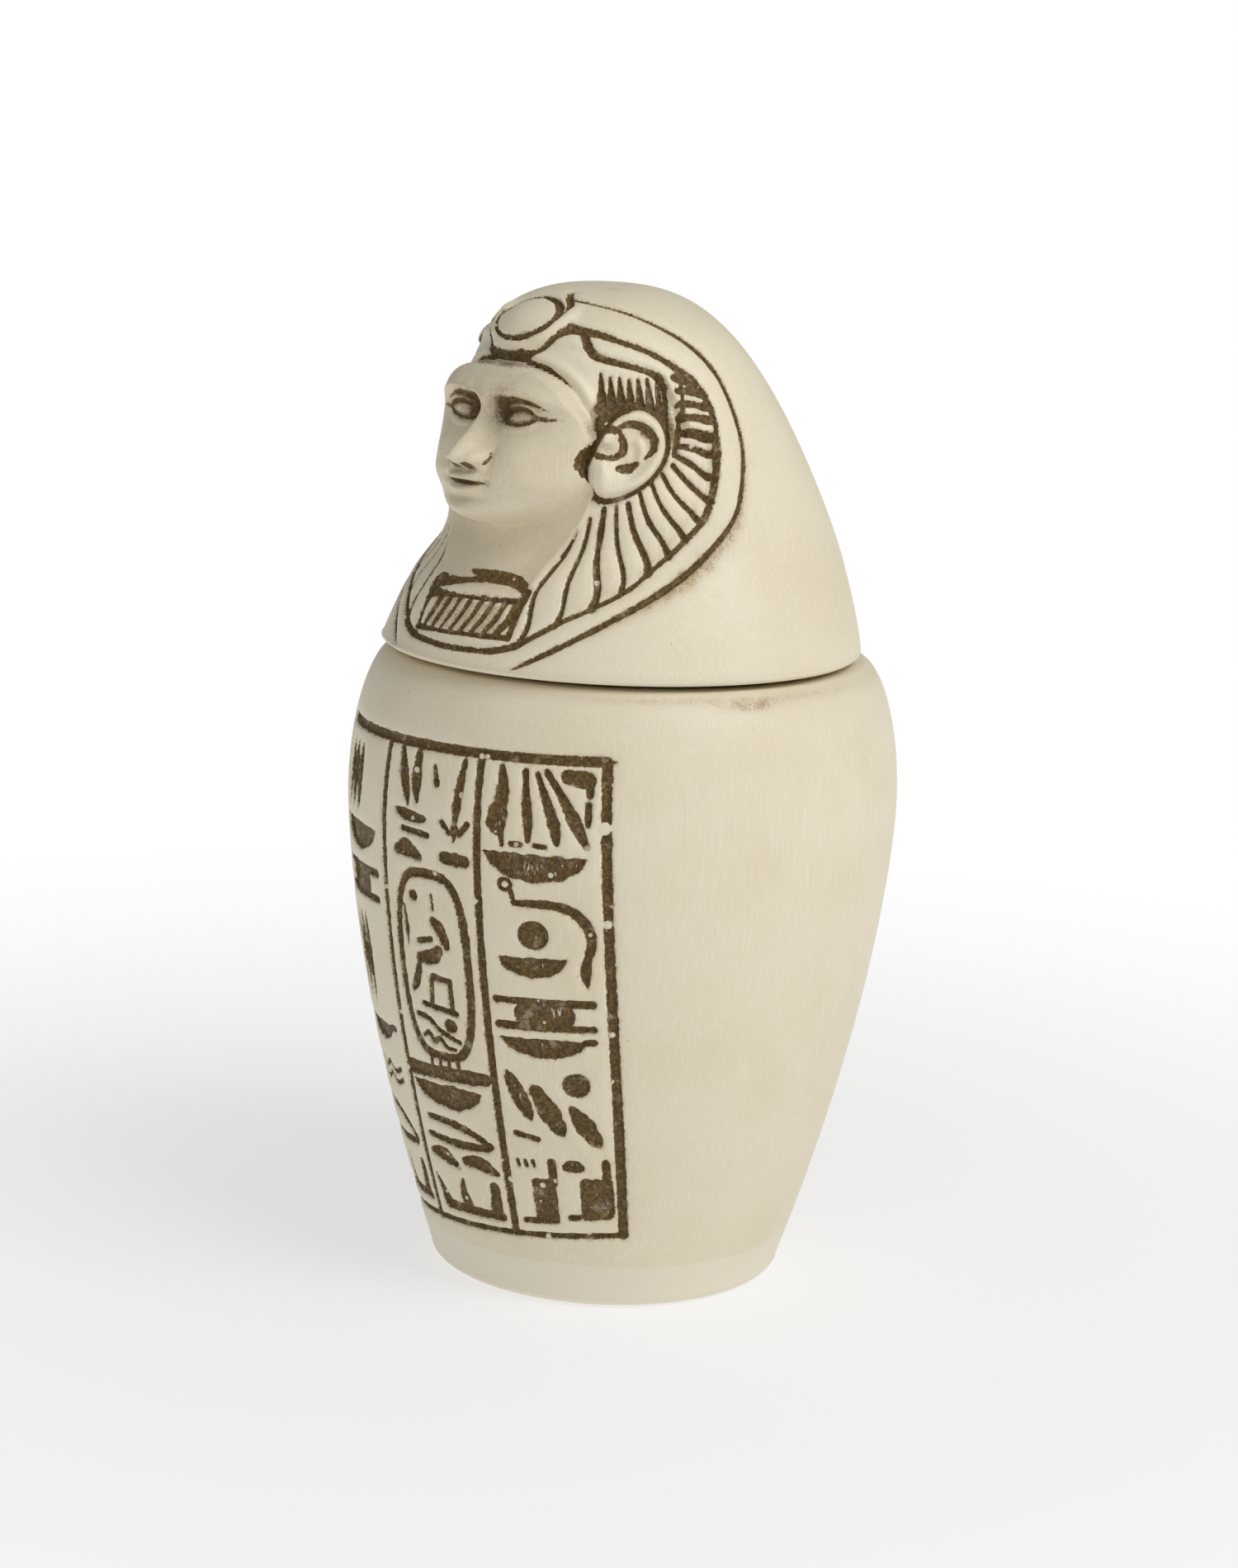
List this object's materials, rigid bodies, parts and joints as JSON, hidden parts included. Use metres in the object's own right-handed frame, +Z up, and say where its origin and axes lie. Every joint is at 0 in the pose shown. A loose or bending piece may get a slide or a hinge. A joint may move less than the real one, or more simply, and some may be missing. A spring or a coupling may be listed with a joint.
{
  "type": "canopic jar",
  "caption": "Small hollow canopic jar with a carved panel of columns and a lift-off lid in the form of a head in a striped headdress.",
  "frame": {"origin": "on the jar's axis, at the middle of its underside", "axes": "+Z up along the jar's axis, -Y out of the front that the head faces, +X to the right of someone who faces that front"},
  "size_m": [0.0776, 0.0776, 0.14],
  "materials": {
    "jar": "matt ivory resin with a stone filler, sanded in fine upright lines, with a dark brown wash in its carving",
    "lid": "matt ivory resin with a stone filler, with a dark brown wash in its carving and ochre stain beside it"
  },
  "bodies": {
    "root": {"jar": "jar", "lid": "lid"}
  },
  "joints": []
}
